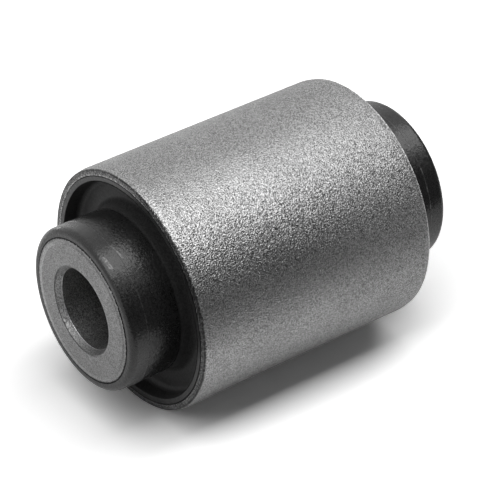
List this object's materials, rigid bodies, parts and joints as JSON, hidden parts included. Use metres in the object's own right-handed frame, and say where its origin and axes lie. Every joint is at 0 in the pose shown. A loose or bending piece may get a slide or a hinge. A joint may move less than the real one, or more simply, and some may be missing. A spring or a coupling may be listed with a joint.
{
  "type": "rubber metal bush",
  "caption": "Bonded suspension bush: a steel outer sleeve and a thick bored inner sleeve with moulded rubber between them, recessed at each end and carried out along the inner sleeve as a neck.",
  "frame": {"origin": "centre of the inner sleeve's lower end face, on which the bush stands", "axes": "+Z along the bore from the lower end face to the upper one; X and Y are any pair across it, because the bush is round"},
  "size_m": [0.0426, 0.0424, 0.0651],
  "materials": {
    "outer_sleeve_steel": "blasted and phosphated steel, dull grey with a fine orange-peel grain",
    "moulded_rubber": "black moulded rubber, satin",
    "inner_sleeve_steel": "machined and phosphated steel, satin with a very fine grain"
  },
  "bodies": {
    "root": {"outer_sleeve": "outer_sleeve_steel", "rubber_body": "moulded_rubber", "inner_sleeve": "inner_sleeve_steel"}
  },
  "joints": []
}
